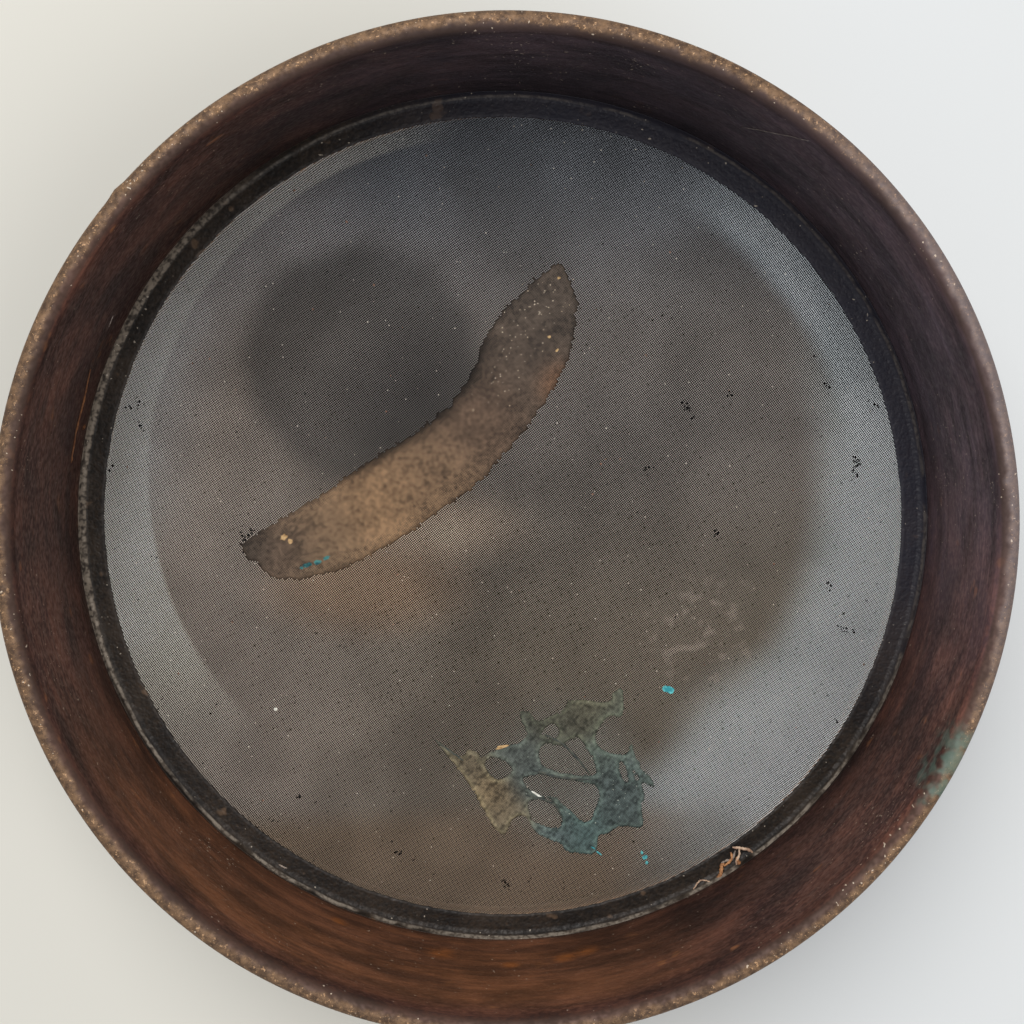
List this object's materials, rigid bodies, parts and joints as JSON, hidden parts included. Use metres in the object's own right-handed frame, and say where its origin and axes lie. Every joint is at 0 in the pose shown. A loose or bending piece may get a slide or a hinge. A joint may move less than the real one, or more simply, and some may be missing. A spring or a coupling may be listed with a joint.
{
  "type": "test sieve",
  "caption": "Round laboratory test sieve: spun sheet frame with rolled rim, fine woven wire cloth soldered inside, nesting skirt below, with old deposits.",
  "frame": {"origin": "centre of the skirt's lower edge, on the surface that the sieve stands on", "axes": "+Z along the sieve's axis, out of its open mouth; the cloth's weave runs 36.9 degrees from +X"},
  "size_m": [0.212, 0.212, 0.067],
  "materials": {
    "shell_metal": "old brass with a dark brown tarnish inside, dusty tan on the rolled rim",
    "skirt_metal": "dull brown tarnish",
    "wire_cloth": "grey tarnished woven wire",
    "solder": "near-black oxidised solder with a grey dust line at its edge",
    "residue": "dried tan-brown film",
    "verdigris": "grey-green crust with teal patches"
  },
  "bodies": {
    "root": {"shell": "shell_metal", "skirt_ring": "skirt_metal", "wire_cloth": "wire_cloth", "solder_ring": "solder", "residue_film": "residue", "verdigris_crust": "verdigris"}
  },
  "joints": []
}
